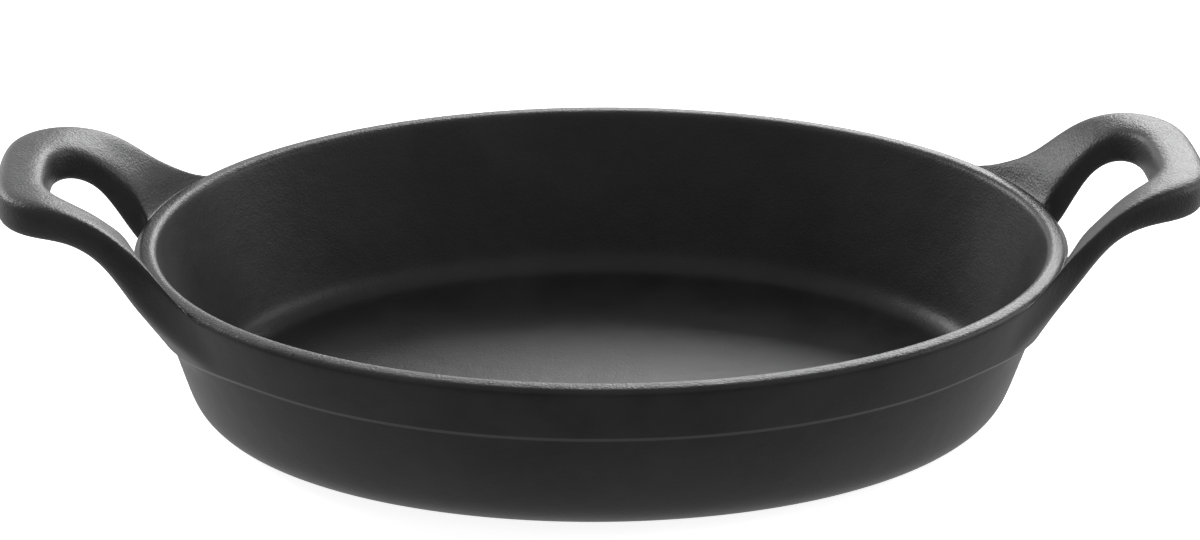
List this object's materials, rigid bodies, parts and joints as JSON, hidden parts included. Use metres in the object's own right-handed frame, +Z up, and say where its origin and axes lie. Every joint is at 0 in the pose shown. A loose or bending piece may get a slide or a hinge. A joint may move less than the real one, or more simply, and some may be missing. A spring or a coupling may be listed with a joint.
{
  "type": "gratin dish",
  "caption": "Shallow oval cast-iron gratin dish with a flaring banded wall, a rounded rim and a raised loop handle at each end, for baking and serving.",
  "frame": {"origin": "middle of the underside, on the plane that the dish stands on", "axes": "+X runs along the dish from the left handle to the right handle, +Y across it towards the far wall, +Z up"},
  "size_m": [0.262, 0.1432, 0.0601],
  "materials": {
    "enamel_body": "matte black enamel with a fine grain",
    "enamel_handle": "matte black enamel with a fine grain, a little worn on the crowns"
  },
  "bodies": {
    "root": {"dish_body": "enamel_body", "handle_left": "enamel_handle", "handle_right": "enamel_handle"}
  },
  "joints": []
}
